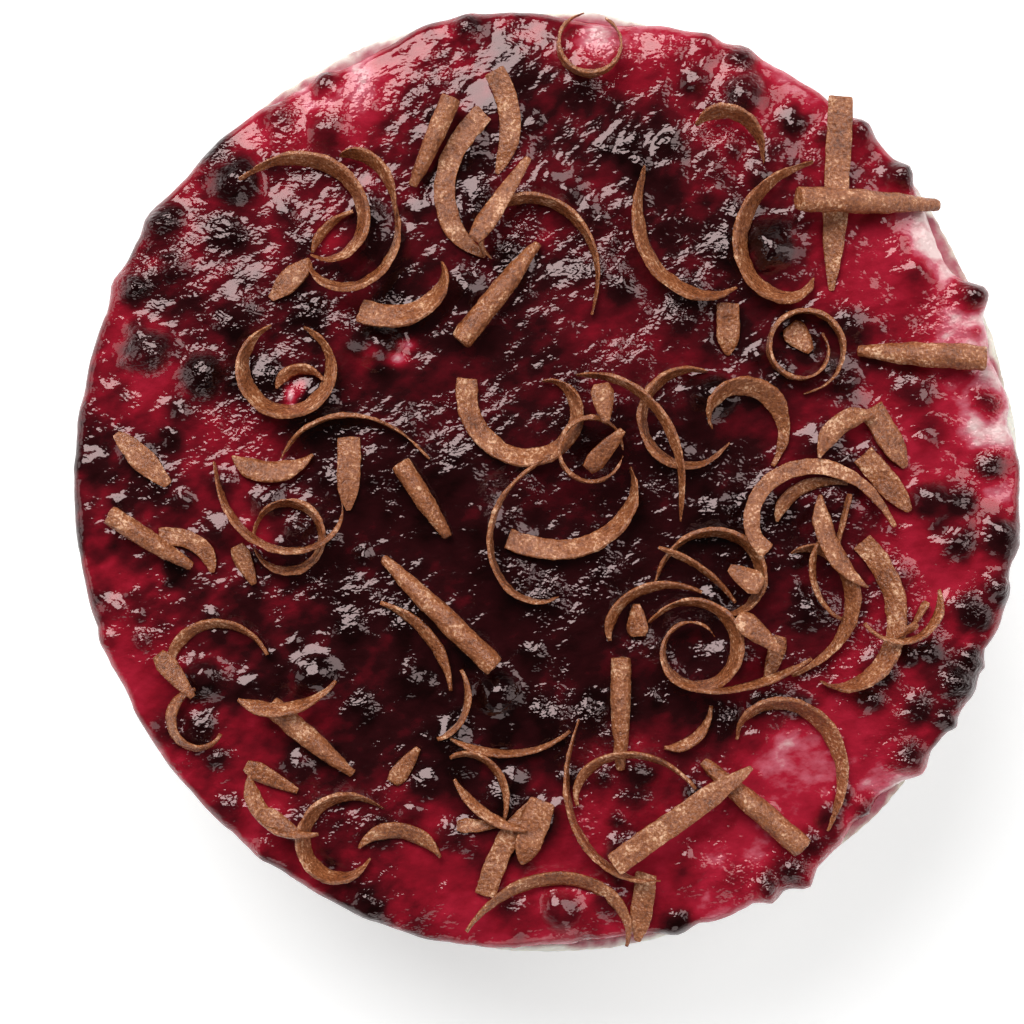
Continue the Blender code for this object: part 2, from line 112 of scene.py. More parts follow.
def rough_noise(points, size, octaves=3, seed=0):
    """Noise with finer and finer lumps on the large ones."""
    total = 0.0
    for octave in range(octaves):
        total = total + smooth_noise(points, size / 2.1**octave, seed + 17 * octave) / 1.8**octave
    return total


def cell_distance(points, size, seed=0):
    """The distance from each point to the nearest of the scattered seeds, one in each cell, in cells."""
    scaled = np.asarray(points) / size
    low = np.floor(scaled).astype(np.int64)
    best = np.full(len(scaled), np.inf)
    for dx in (-1, 0, 1):
        for dy in (-1, 0, 1):
            for dz in (-1, 0, 1):
                cell = low + (dx, dy, dz)
                offset = [hashed(*cell.T, seed + axis) * 0.5 + 0.5 for axis in range(3)]
                away = cell + np.stack(offset, axis=1) - scaled
                best = np.minimum(best, (away**2).sum(axis=1))
    return np.sqrt(best)


# Materials

def new_material(name):
    made = bpy.data.materials.new(name)
    made.use_nodes = True
    return made, made.node_tree.nodes, made.node_tree.links, made.node_tree.nodes["Principled BSDF"]


def ramp(nodes, links, source, stops):
    """A colour ramp with the given (place, colour) stops, fed by a socket."""
    made = nodes.new("ShaderNodeValToRGB")
    elements = made.color_ramp.elements
    while len(elements) < len(stops):
        elements.new(0.5)
    for element, (place, colour) in zip(elements, stops):
        element.position = place
        element.color = (*colour, 1.0)
    links.new(source, made.inputs[0])
    return made.outputs[0]


def noise_texture(nodes, links, size, detail=3.0, roughness=0.6, stretch=(1, 1, 1), turn=0.0):
    """Noise in object space with lumps of the given size in metres, turned about the vertical."""
    place = nodes.new("ShaderNodeTexCoord")
    mapping = nodes.new("ShaderNodeMapping")
    mapping.inputs["Rotation"].default_value = (0, 0, turn)
    mapping.inputs["Scale"].default_value = tuple(side / size for side in stretch)
    texture = nodes.new("ShaderNodeTexNoise")
    texture.inputs["Scale"].default_value = 1.0
    texture.inputs["Detail"].default_value = detail
    texture.inputs["Roughness"].default_value = roughness
    links.new(place.outputs["Object"], mapping.inputs["Vector"])
    links.new(mapping.outputs["Vector"], texture.inputs["Vector"])
    return texture.outputs["Fac"]


def cell_texture(nodes, links, size):
    """The distance to the nearest scattered seed, for pores and grains of the given size in metres."""
    place = nodes.new("ShaderNodeTexCoord")
    texture = nodes.new("ShaderNodeTexVoronoi")
    texture.inputs["Scale"].default_value = 1.0 / size
    links.new(place.outputs["Object"], texture.inputs["Vector"])
    return texture.outputs["Distance"]


def attribute(nodes, name):
    """The value that each point of the mesh carries under this name."""
    made = nodes.new("ShaderNodeAttribute")
    made.attribute_name = name
    return made.outputs["Fac"]


def math_node(nodes, links, operation, first, second):
    made = nodes.new("ShaderNodeMath")
    made.operation = operation
    for socket, value in zip(made.inputs, (first, second)):
        if isinstance(value, (int, float)):
            socket.default_value = value
        else:
            links.new(value, socket)
    return made.outputs[0]


def mix_colour(nodes, links, amount, first, second):
    """The first colour socket, with the second colour over it as far as the amount socket says."""
    made = nodes.new("ShaderNodeMix")
    made.data_type = "RGBA"
    amount_in, first_in, second_in = made.inputs[0], made.inputs[6], made.inputs[7]
    links.new(amount, amount_in)
    links.new(first, first_in)
    second_in.default_value = second
    return made.outputs[2]


def bump(nodes, links, shader, heights):
    """Adds bump to a shader from (height socket, depth in metres) pairs."""
    normal = None
    for height, depth in heights:
        made = nodes.new("ShaderNodeBump")
        made.inputs["Strength"].default_value = 1.0
        made.inputs["Distance"].default_value = depth
        links.new(height, made.inputs["Height"])
        if normal is not None:
            links.new(normal, made.inputs["Normal"])
        normal = made.outputs[0]
    links.new(normal, shader.inputs["Normal"])


def sponge_material():
    made, nodes, links, shader = new_material("sponge_crumb")
    relief = attribute(nodes, "relief")
    grain = noise_texture(nodes, links, 0.8 * MM, detail=2.0, roughness=0.6)
    blotch = noise_texture(nodes, links, 7.0 * MM, detail=2.0)
    # Painted shade: the crumb's colour is ramped partly by its relief, so pores and hollows go near-black;
    # the grain and blotch noise add random tone.
    depth = math_node(nodes, links, "MULTIPLY", relief, 0.62)
    depth = math_node(nodes, links, "ADD", depth, math_node(nodes, links, "MULTIPLY", grain, 1.3))
    depth = math_node(nodes, links, "ADD", depth, math_node(nodes, links, "MULTIPLY", blotch, 0.4))
    colour = ramp(
        nodes, links, math_node(nodes, links, "SUBTRACT", depth, 0.66),
        ((0.0, (0.006, 0.0012, 0.001)), (0.30, (0.030, 0.0085, 0.005)), (0.52, (0.068, 0.020, 0.0105)),
         (0.72, (0.165, 0.054, 0.024)), (0.86, (0.33, 0.125, 0.062)), (1.0, (0.52, 0.30, 0.21))),
    )
    links.new(colour, shader.inputs["Base Color"])
    shader.inputs["Roughness"].default_value = 0.75
    shader.inputs["Specular IOR Level"].default_value = 0.14
    bump(nodes, links, shader, ((grain, 0.45 * MM), (cell_texture(nodes, links, 1.1 * MM), 0.35 * MM)))
    return made


# The colour of cream that berry juice has stained through
JUICE = (0.42, 0.085, 0.12, 1.0)


def cream_material():
    made, nodes, links, shader = new_material("cream_filling")
    relief = attribute(nodes, "relief")
    soft = noise_texture(nodes, links, 0.8 * MM, detail=3.0, roughness=0.65)
    # Painted shade: the cream's colour is ramped partly by its relief, so pits and hollows go darker and
    # browner; the soft noise adds random tone.
    depth = math_node(nodes, links, "ADD", relief, math_node(nodes, links, "MULTIPLY", soft, 0.9))
    depth = math_node(nodes, links, "SUBTRACT", depth, 0.2)
    colour = ramp(
        nodes, links, depth,
        ((0.15, (0.66, 0.57, 0.46)), (0.40, (0.84, 0.77, 0.645)), (0.75, (0.93, 0.87, 0.75)),
         (1.0, (0.95, 0.91, 0.82))),
    )
    stained = mix_colour(nodes, links, attribute(nodes, "juice"), colour, JUICE)
    links.new(stained, shader.inputs["Base Color"])
    shader.inputs["Roughness"].default_value = 0.62
    shader.inputs["Subsurface Weight"].default_value = 0.15
    shader.inputs["Subsurface Radius"].default_value = (0.9, 0.6, 0.4)
    shader.inputs["Subsurface Scale"].default_value = 2.0 * MM
    bump(nodes, links, shader, ((soft, 0.35 * MM), (cell_texture(nodes, links, 1.6 * MM), 0.2 * MM)))
    return made


# Colours of the glaze from its thickest places to bare cream
GLAZE_TONES = (
    (0.0, (0.007, 0.0010, 0.0012)), (0.24, (0.026, 0.0030, 0.0042)), (0.42, (0.10, 0.0045, 0.009)),
    (0.60, (0.26, 0.007, 0.018)), (0.76, (0.42, 0.014, 0.036)), (0.87, (0.60, 0.13, 0.18)),
    (1.0, (0.88, 0.66, 0.64)),
)


def glaze_material():
    made, nodes, links, shader = new_material("berry_glaze_wet")
    tone = attribute(nodes, "tone")
    mottle = noise_texture(nodes, links, 3.4 * MM, detail=5.0, stretch=(0.8, 1.3, 1), turn=-0.7)
    shift = math_node(nodes, links, "MULTIPLY", math_node(nodes, links, "SUBTRACT", mottle, 0.5), 0.34)
    colour = ramp(nodes, links, math_node(nodes, links, "ADD", tone, shift), GLAZE_TONES)
    links.new(colour, shader.inputs["Base Color"])
    shader.inputs["Roughness"].default_value = 0.09
    shader.inputs["Specular IOR Level"].default_value = 0.60
    shader.inputs["Specular Tint"].default_value = (1.0, 0.76, 0.75, 1.0)
    crinkle = attribute(nodes, "crinkle")
    fine = noise_texture(
        nodes, links, 1.15 * MM, detail=1.2, roughness=0.5, stretch=(0.8, 1.15, 1), turn=-0.75
    )
    soft = noise_texture(nodes, links, 2.5 * MM, detail=2.0, stretch=(0.7, 1.2, 1), turn=-0.75)
    cracks = math_node(nodes, links, "MULTIPLY", fine, crinkle)
    bump(nodes, links, shader, ((soft, 0.10 * MM), (cracks, 0.44 * MM)))
    return made


def chocolate_material():
    made, nodes, links, shader = new_material("milk_chocolate")
    grain = noise_texture(nodes, links, 0.75 * MM, detail=3.0, roughness=0.65)
    cloud = noise_texture(nodes, links, 5.0 * MM, detail=3.0)
    speckle = math_node(nodes, links, "MULTIPLY", grain, 0.55)
    blotch = math_node(nodes, links, "MULTIPLY", cloud, 0.45)
    tone_and_glints = math_node(nodes, links, "ADD", speckle, blotch)
    # Random tone from the grain and blotches; the palest speckles at the top of the ramp are painted glints.
    colour = ramp(
        nodes, links, tone_and_glints,
        ((0.30, (0.10, 0.025, 0.0065)), (0.44, (0.265, 0.076, 0.0235)), (0.55, (0.43, 0.144, 0.051)),
         (0.64, (0.90, 0.52, 0.31))),
    )
    links.new(colour, shader.inputs["Base Color"])
    shader.inputs["Roughness"].default_value = 0.23
    shader.inputs["Specular IOR Level"].default_value = 0.65
    bump(nodes, links, shader, ((grain, 0.46 * MM), (cell_texture(nodes, links, 1.0 * MM), 0.18 * MM)))
    return made


def floor_material():
    made, nodes, links, shader = new_material("studio_floor")
    shader.inputs["Base Color"].default_value = (0.90, 0.90, 0.90, 1.0)
    shader.inputs["Roughness"].default_value = 0.9
    shader.inputs["Emission Color"].default_value = (1.0, 1.0, 1.0, 1.0)
    shader.inputs["Emission Strength"].default_value = 0.45
    return made


# Meshes

def new_piece(name, points, faces, material, node, values=None):
    """A smooth mesh that stands for a node of the frame, kept inside the frame's box."""
    low, high = np.array(cad_box[0]), np.array(cad_box[1])
    mesh = bpy.data.meshes.new(name)
    mesh.from_pydata(np.clip(points, low, high).tolist(), [], faces)
    for key, per_point in (values or {}).items():
        mesh.attributes.new(key, "FLOAT", "POINT").data.foreach_set("value", per_point.astype(np.float32))
    mesh.materials.append(material)
    mesh.shade_smooth()
    mesh.update()
    made = bpy.data.objects.new(name, mesh)
    bpy.context.scene.collection.objects.link(made)
    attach(made, "root")
    if node:
        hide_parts(node)
    return made


def solid_tree(node):
    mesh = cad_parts[node].data
    points = [vert.co for vert in mesh.vertices]
    return BVHTree.FromPolygons(points, [face.vertices for face in mesh.polygons])


def hit(tree, start, direction):
    return tree.ray_cast(Vector(start), Vector(direction))[0]


def around(values, passes):
    """Smooths a ring of values."""
    for _ in range(passes):
        values = (np.roll(values, 1, axis=0) + 2 * values + np.roll(values, -1, axis=0)) / 4
    return values


# A layer's side is felt in so many directions at so many heights, from the lowest to the highest of these
# shares of its thickness, and its two faces at this distance from the middle
SIDE_CASTS = 144
SIDE_LEVELS = 7
SIDE_SHARES = (0.06, 0.94)
EDGE_RADIUS = 105.4 * MM
# Where the noise of the layers' edges is read, and the size of its lumps
SIDE_RADIUS = 108 * MM
RAGGED_SIZE = 5.0 * MM
# How far a layer's piece goes in under and over its neighbours, with rows so many steps wide, and how much
# of its relief it keeps there
CAP = 10.0 * MM
CAP_STEPS = 2.2
CAP_RELIEF = 0.35


def side_of(node):
    """The bottom, the top and the radius of a layer's side all round, read from its solid and smoothed."""
    tree = solid_tree(node)
    angles = np.arange(SIDE_CASTS) * math.tau / SIDE_CASTS
    rows = []
    for angle in angles:
        across, along = math.cos(angle), math.sin(angle)
        top = hit(tree, (EDGE_RADIUS * across, EDGE_RADIUS * along, ABOVE), DOWN).z
        bottom = hit(tree, (EDGE_RADIUS * across, EDGE_RADIUS * along, BELOW), UP).z
        radii = []
        for share in np.linspace(*SIDE_SHARES, SIDE_LEVELS):
            height = bottom + share * (top - bottom)
            found = hit(tree, (BESIDE * across, BESIDE * along, height), (-across, -along, 0))
            radii.append(math.hypot(found.x, found.y))
        rows.append((bottom, top, *radii))
    rows = around(np.array(rows), 3)
    return rows[:, 0], rows[:, 1], rows[:, 2:]


def layer_piece(name, node, material, step, relief, overlap, corner, ragged, seed):
    """One layer with a fine side: relief(points) gives how far each point stands out, in metres.

    Its edges lap over the borders by overlap, wander by ragged and are rounded by corner.
    """
    bottom, top, radii = side_of(node)
    columns = int(math.tau * SIDE_RADIUS / step)
    turn = np.arange(columns) / columns
    casts = np.arange(SIDE_CASTS + 1) / SIDE_CASTS

    def spread(ring):
        return np.interp(turn, casts, np.append(ring, ring[0]))

    angle = turn * math.tau
    ring = np.stack([SIDE_RADIUS * np.cos(angle), SIDE_RADIUS * np.sin(angle), np.zeros(columns)], axis=1)
    low = spread(bottom)
    if node != "sponge_bottom":
        low = low - overlap - ragged * rough_noise(ring, RAGGED_SIZE, 3, seed + 1)
    high = spread(top) + overlap + ragged * rough_noise(ring, RAGGED_SIZE, 3, seed + 2)
    rows = int((high - low).max() / step) + 2
    cap_rows = max(3, int(CAP / (CAP_STEPS * step)))
    points, shares, below, above = [], [], [], []
    levels = np.stack([spread(radii[:, level]) for level in range(SIDE_LEVELS)])
    for row in range(-cap_rows, rows + cap_rows):
        share = min(1.0, max(0.0, row / (rows - 1)))
        height = low + (high - low) * share
        inward = CAP * max(0.0, -row / cap_rows, (row - rows + 1) / cap_rows)
        place = share * (SIDE_LEVELS - 1)
        first = min(int(place), SIDE_LEVELS - 2)
        radius = levels[first] + (levels[first + 1] - levels[first]) * (place - first)
        edge = np.minimum(height - low, high - height)
        edge = np.clip(1 - edge / corner, 0.0, 1.0)
        radius = radius - corner * (1 - np.sqrt(1 - edge**2)) - inward
        points.append(np.stack([radius * np.cos(angle), radius * np.sin(angle), height], axis=1))
        shares.append(np.full(columns, 1.0 if inward == 0 else CAP_RELIEF))
        below.append(high - height)
        above.append(height - low)
    points = np.concatenate(points)
    out = relief(points)
    shift = out * np.concatenate(shares)
    flat = points[:, :2] / np.linalg.norm(points[:, :2], axis=1)[:, None]
    points[:, :2] += flat * shift[:, None]
    total = len(points) // columns
    grid = np.arange(total * columns).reshape(total, columns)
    right = np.roll(grid, -1, axis=1)
    quads = np.stack([grid[:-1], right[:-1], right[1:], grid[1:]], axis=-1).reshape(-1, 4)
    faces = quads.tolist()
    ends = np.array([[0, 0, low.mean()], [0, 0, high.mean()]])
    under, over = len(points), len(points) + 1
    faces += [[under, int(b), int(a)] for a, b in zip(grid[0], right[0])]
    faces += [[over, int(a), int(b)] for a, b in zip(grid[-1], right[-1])]
    # Scaled so that nearly all of it lies between 0 and 1; the sponge and cream colours are darker where it
    # is low, as painted shade in pores and pits
    relief_of = np.append(out, (0.0, 0.0))
    relief_of = relief_of / (relief_of.std() * 4) + 0.5
    points = np.concatenate([points, ends])
    # The two points at the ends count as a metre away from the borders, so no juice reaches them
    below, above = (np.append(np.concatenate(rows_of), (1.0, 1.0)) for rows_of in (below, above))
    values = {"relief": relief_of, "juice": juice_stains(points, below, above, node == "cream_top")}
    return new_piece(name, points, faces, material, node, values)


# Juice in the cream: the sizes of its patches and spots, and how far it reaches from a sponge
STAIN_PATCHES = 16 * MM
STAIN_SPOTS = 3.0 * MM
STAIN_REACH = 2.2 * MM


def juice_stains(points, below, above, under_glaze):
    """How far berry juice has stained the cream at points so far below its top and above its bottom.

    It is a band under the glaze, and elsewhere spots near the sponge.
    """
    patches = rough_noise(points, STAIN_PATCHES, 2, 71)
    spots = rough_noise(points, STAIN_SPOTS, 2, 73)
    if under_glaze:
        band = ((2.6 + 2.2 * patches) * MM).clip(0.6 * MM)
        return np.clip(1.0 - below / band + 0.5 * spots, 0, 1)
    near = np.exp(-np.minimum(below, above).clip(0) / STAIN_REACH)
    return np.clip(1.6 * near * np.clip(patches - 0.15, 0, 1) * (0.8 + 0.8 * spots), 0, 0.8)


# Relief as (depth, size): lumps and torn crumbs of the sponge, swells and drags of the cream with their
# stretch, and the pores of both with the share of their size that is open
CRUMB_LUMPS = (0.75 * MM, 7 * MM)
CRUMB_GRAINS = (0.85 * MM, 1.9 * MM)
CRUMB_PORES = (3.0 * MM, 3.4 * MM, 0.42)
CRUMB_SMALL_PORES = (1.4 * MM, 1.6 * MM, 0.45)
CREAM_SWELLS = (0.55 * MM, 12 * MM, (1.0, 1.0, 1.6))
CREAM_DRAGS = (0.20 * MM, 1.6 * MM, (1.0, 1.0, 0.8))
CREAM_PITS = (1.6 * MM, 2.6 * MM, 0.26)


def pores(points, kind, seed):
    depth, size, opening = kind
    return depth * np.clip(opening - cell_distance(points, size, seed), 0, None)


def crumb_relief(seed):
    """Open crumb: lumps, torn crumbs and round pores."""

    def relief(points):
        lumps = CRUMB_LUMPS[0] * rough_noise(points, CRUMB_LUMPS[1], 2, seed)
        crumbs = CRUMB_GRAINS[0] * rough_noise(points, CRUMB_GRAINS[1], 2, seed + 5)
        large, small = pores(points, CRUMB_PORES, seed + 9), pores(points, CRUMB_SMALL_PORES, seed + 12)
        return lumps + crumbs - large - small

    return relief


def cream_relief(seed):
    """Spread cream: broad swells, with a few pits and drags."""

    def relief(points):
        swells = CREAM_SWELLS[0] * rough_noise(points * CREAM_SWELLS[2], CREAM_SWELLS[1], 2, seed)
        drags = CREAM_DRAGS[0] * rough_noise(points * CREAM_DRAGS[2], CREAM_DRAGS[1], 2, seed + 3)
        return swells + drags - pores(points, CREAM_PITS, seed + 7)

    return relief


# The glaze's rim lies at about this distance from the middle
RIM_RADIUS = 110 * MM
# Bright and pale patches as (x, y, reach, tone), in millimetres from the middle
GLAZE_PATCHES = (
    (90, 8, 22, 0.72), (90, -20, 18, 0.74), (98, 30, 14, 0.82), (104, 17, 8, 1.0), (106, 26, 9, 0.95),
    (80, 52, 20, 0.70), (88, 60, 12, 0.86), (96, 56, 8, 0.95), (62, 88, 16, 0.68), (50, 96, 12, 0.80),
    (24, 104, 14, 0.72), (10, 103, 8, 0.90), (40, 84, 10, 0.62), (-42, 97, 10, 0.66), (-50, 92, 12, 0.90),
    (-62, 86, 12, 0.78), (-90, 62, 10, 0.66), (-92, 26, 12, 0.70), (-100, 44, 8, 0.70),
    (-74, 6, 14, 0.58), (-70, -12, 10, 0.56), (-60, 66, 12, 0.45), (-2, 66, 10, 0.48), (14, 38, 16, 0.46),
    (30, 28, 14, 0.45), (55, -62, 15, 0.86), (64, -72, 14, 0.80), (72, -54, 14, 0.74),
    (50, -80, 14, 0.76), (30, -88, 14, 0.72), (10, -80, 12, 0.66), (3, -104, 16, 0.80),
    (-18, -100, 12, 0.70), (44, -96, 12, 0.86), (77, -79, 10, 1.0), (85, -69, 8, 0.97),
    (66, -87, 9, 0.95), (76, -46, 10, 0.68), (20, -64, 10, 0.55), (90, 55, 6, 1.0), (94, 49, 7, 0.97),
    (92, 61, 7, 0.88), (100, 36, 7, 0.95), (105.5, 12, 6, 1.0), (103, -2, 5, 0.85), (-41, 30.5, 3.4, 1.0),
    (-36, 27.5, 2.6, 1.0), (-33, 31.5, 2.2, 0.95), (-61, 20, 3.0, 1.0), (-56.5, 22, 2.4, 0.96),
    (-30, -84, 14, 0.62), (-70, -78, 14, 0.70), (-96, -44, 14, 0.66), (60, 10, 10, 0.50),
    (-20, 20, 12, 0.35), (61, -30, 13, 0.42), (11, 66, 9, 0.46),
)
# How far the glaze is drawn thin at the very rim, and over what width
RIM_TONE = 0.10
RIM_WIDTH = 9.0 * MM
# The tone in the dark middle, which ends at this distance, and what it gains up to the rim so much farther
MIDDLE_TONE = 0.185
OUTWARD_TONE = 0.215
MIDDLE_END = 35 * MM
MIDDLE_TO_RIM = 70 * MM
# Unevenness of the tone as (size, strength in the middle, what it gains outwards, seed), and such streaks
# along the wipe
TONE_NOISE = ((24 * MM, 0.13, 0.0, 3), (7 * MM, 0.12, 0.09, 6))
TONE_STREAKS = (2.6 * MM, 0.03, 0.10, 7)
# Streaks that also run over the patches: size, strength and seed
PATCH_STREAKS = (3.2 * MM, 0.06, 12)
# How far the outlines of the patches wander, and in what size of waves
PATCH_WANDER = 3.5 * MM
PATCH_WAVES = 9 * MM
# How much darker the glaze is over a berry
BERRY_TONE = 0.42


def glaze_tone(points, stands_out):
    """0 where the glaze is thickest and darkest, up to 1 where the cream shows through."""
    radius = np.hypot(points[:, 0], points[:, 1])
    waves = [smooth_noise(points, PATCH_WAVES, 31 + axis) for axis in range(3)]
    wander = points + PATCH_WANDER * np.stack(waves, axis=1)
    outward = np.clip((radius - MIDDLE_END) / MIDDLE_TO_RIM, 0, 1)
    tone = MIDDLE_TONE + OUTWARD_TONE * outward
    for size, strength, gain, seed in TONE_NOISE:
        tone = tone + (strength + gain * outward) * rough_noise(points, size, 2, seed)
    size, strength, gain, seed = TONE_STREAKS
    tone = tone + (strength + gain * outward) * rough_noise(drawn(points, 0.7, 1.2), size, 2, seed)
    for x, y, reach, value in GLAZE_PATCHES:
        away = np.hypot(wander[:, 0] - x * MM, wander[:, 1] - y * MM) / (reach * MM)
        weight = np.exp(-np.clip(away, 0, 4) ** 2.6)
        tone = tone + (value - tone) * weight * (value > tone)
    size, strength, seed = PATCH_STREAKS
    tone = tone + strength * rough_noise(drawn(points, 0.6, 1.2), size, 2, seed)
    rim = np.clip(1 - (RIM_RADIUS - radius) / RIM_WIDTH, 0, 1)
    tone = tone + RIM_TONE * rim**1.5 * (0.6 + 0.6 * smooth_noise(points, 14 * MM, 8))
    return np.clip(tone - BERRY_TONE * stands_out, 0, 1)


# The direction in which the glaze was wiped
WIPE = math.radians(42)


def drawn(points, along, across):
    """Points turned to the direction in which the glaze was wiped, and stretched along it."""
    turned = points.copy()
    turned[:, 0] = (points[:, 0] * math.cos(WIPE) + points[:, 1] * math.sin(WIPE)) * along
    turned[:, 1] = (points[:, 1] * math.cos(WIPE) - points[:, 0] * math.sin(WIPE)) * across
    return turned


def disc_grid(side):
    """The x and y of a square grid drawn into the unit disc: (side + 1) squared points, evenly spread."""
    axis = np.linspace(-1, 1, side + 1)
    a, b = np.meshgrid(axis, axis, indexing="ij")
    wide = np.abs(a) > np.abs(b)
    safe_a, safe_b = np.where(a == 0, 1, a), np.where(b == 0, 1, b)
    radius = np.where(wide, a, b)
    angle = np.where(wide, math.pi / 4 * b / safe_a, math.pi / 2 - math.pi / 4 * a / safe_b)
    return radius * np.cos(angle), radius * np.sin(angle)


def blurred(values, passes):
    """Smooths a square grid of values."""
    for _ in range(passes):
        for axis in (0, 1):
            padded = np.concatenate(
                [np.take(values, [0], axis=axis), values, np.take(values, [-1], axis=axis)], axis=axis
            )
            count = values.shape[axis]
            values = sum(
                weight * np.take(padded, range(start, start + count), axis=axis)
                for start, weight in ((0, 0.25), (1, 0.5), (2, 0.25))
            )
    return values


# Berries that the glaze covers: how many, how far out, how large, and how high they lift it
SUNKEN = 210
SUNKEN_REACH = (38 * MM, 109 * MM)
SUNKEN_SIZE = (1.5 * MM, 4.6 * MM)
SUNKEN_LIFT = (0.4 * MM, 1.4 * MM)
# Berries that show dark in the photo, as (x, y, size) in millimetres: those at the rim push it out
PLACED_BERRIES = (
    (99, 44, 3.6), (102, 18, 3.2), (105, -13, 4.2), (95, -5, 4.0), (95.5, -14.5, 3.6), (105, -26, 3.4),
    (99, -31, 4.2), (95, -47, 4.0), (93, -55.5, 2.0), (84, -65, 3.4), (74, -77, 3.2), (57, -90, 3.8),
    (66, -82, 3.4), (83, 71, 3.6), (57, 83, 3.4), (45, 98, 3.2), (-89, 61, 4.0), (-96, 44, 3.4),
    (30, -103, 3.2), (-52, 93, 3.2), (103, 3, 3.0), (54, -51.5, 3.2), (49.5, -52.5, 2.6),
    (58.5, -52, 2.6), (65.5, -78, 3.2), (62, -85, 3.6), (51, -94.5, 2.8), (69, -73, 2.6),
    (98.5, -42, 2.4), (77.5, -45.5, 3.0), (84, -40, 2.4), (88.5, -39.5, 2.4), (75, -51, 2.6),
)
PLACED_LIFT = 1.5 * MM
PLACED_DARK = 1.45
RIM_PUSH = 1.3 * MM
# From which distance on a berry pushes the rim out, and how soon it does so in full, in millimetres
PUSH_FROM = 98
PUSH_RISE = 6
# How deep the notches in the rim are, and their size
NOTCH_DEPTH = 1.0 * MM
NOTCH_SIZE = 7 * MM


def sunken_berries(x, y):
    """How far the berries under the glaze lift it, and how dark they show, at each point."""
    draw = random.Random(23)
    lift, dark = np.zeros(x.shape), np.zeros(x.shape)
    for _ in range(SUNKEN):
        angle = draw.uniform(0, math.tau)
        near, far = SUNKEN_REACH
        away = math.sqrt(draw.uniform(near**2, far**2))
        size, height = draw.uniform(*SUNKEN_SIZE), draw.uniform(*SUNKEN_LIFT)
        distance = np.hypot(x - away * math.cos(angle), y - away * math.sin(angle)) / size
        lift = np.maximum(lift, height * np.exp(-(distance**2.6)))
        dark = np.maximum(dark, draw.uniform(0.35, 1.0) * np.exp(-((distance / 1.1) ** 2.4)))
    for berry_x, berry_y, size in PLACED_BERRIES:
        distance = np.hypot(x - berry_x * MM, y - berry_y * MM) / (size * MM)
        lift = np.maximum(lift, PLACED_LIFT * np.exp(-(distance**2.6)))
        dark = np.maximum(dark, PLACED_DARK * np.exp(-((distance / 1.1) ** 2.4)))
    return lift, dark


def rim_shape(directions):
    """How far the rim is pushed out by berries and notched between them, most of all on the right."""
    points = np.zeros((len(directions), 3))
    points[:, 0] = RIM_RADIUS * np.cos(directions)
    points[:, 1] = RIM_RADIUS * np.sin(directions)
    uneven = np.clip(rough_noise(points, NOTCH_SIZE, 3, 88), -0.2, 1.2)
    rough_side = 0.45 + 0.55 * np.clip(np.cos(directions + 0.5), 0, 1)
    shape = -NOTCH_DEPTH * uneven * rough_side
    for x, y, size in PLACED_BERRIES:
        distance = math.hypot(x, y)
        rim_x, rim_y = RIM_RADIUS * x / distance, RIM_RADIUS * y / distance
        away = np.hypot(points[:, 0] - rim_x, points[:, 1] - rim_y)
        near_rim = np.clip((distance - PUSH_FROM) / PUSH_RISE, 0, 1)
        pushed = (RIM_PUSH * near_rim - shape) * np.exp(-((away / (size * MM)) ** 2))
        shape = np.maximum(shape, shape + pushed)
    return shape


# In how many directions, and at how many heights in each, the glaze's rim is felt
GLAZE_CASTS = 360
GLAZE_LEVELS = 26
# Near the rim the top is felt this far inside it, as the solid's own rim slopes
RIM_INSET = 1.2 * MM
# Where even that misses the solid, the top lies this far under its highest point
RIM_DEPTH = 5 * MM
# Relief of the top as (depth, what it gains where the glaze is crinkled, size, seed), and the sizes of the
# clusters in which it is crinkled
LUMPS = (0.44 * MM, 0.0, 9 * MM, 41)
FOLDS = (0.12 * MM, 0.22 * MM, 3.0 * MM, 43)
WRINKLES = (0.04 * MM, 0.22 * MM, 1.5 * MM, 47)
CLUSTERS = (13 * MM, 4.5 * MM)
RIM_CRINKLE = 0.3
# Over this width the top bends down to the rim, and by this much
DROOP_WIDTH = 2.2 * MM
DROOP = 1.6 * MM
# The rings that go on from the rim, in millimetres: how far each lies below it, and outside it
RIM_RINGS = ((0.5, 0.35), (1.1, 0.45), (1.8, 0.2), (2.6, -0.8), (3.0, -3.5))
# How many times the felt heights are smoothed for the top itself, and for the level that berries rise from
TOP_PASSES = 9
BULK_PASSES = 180


def relief_of_top(points, crinkle, kind):
    depth, gain, size, seed = kind
    return (depth + gain * crinkle) * rough_noise(points, size, 2, seed)


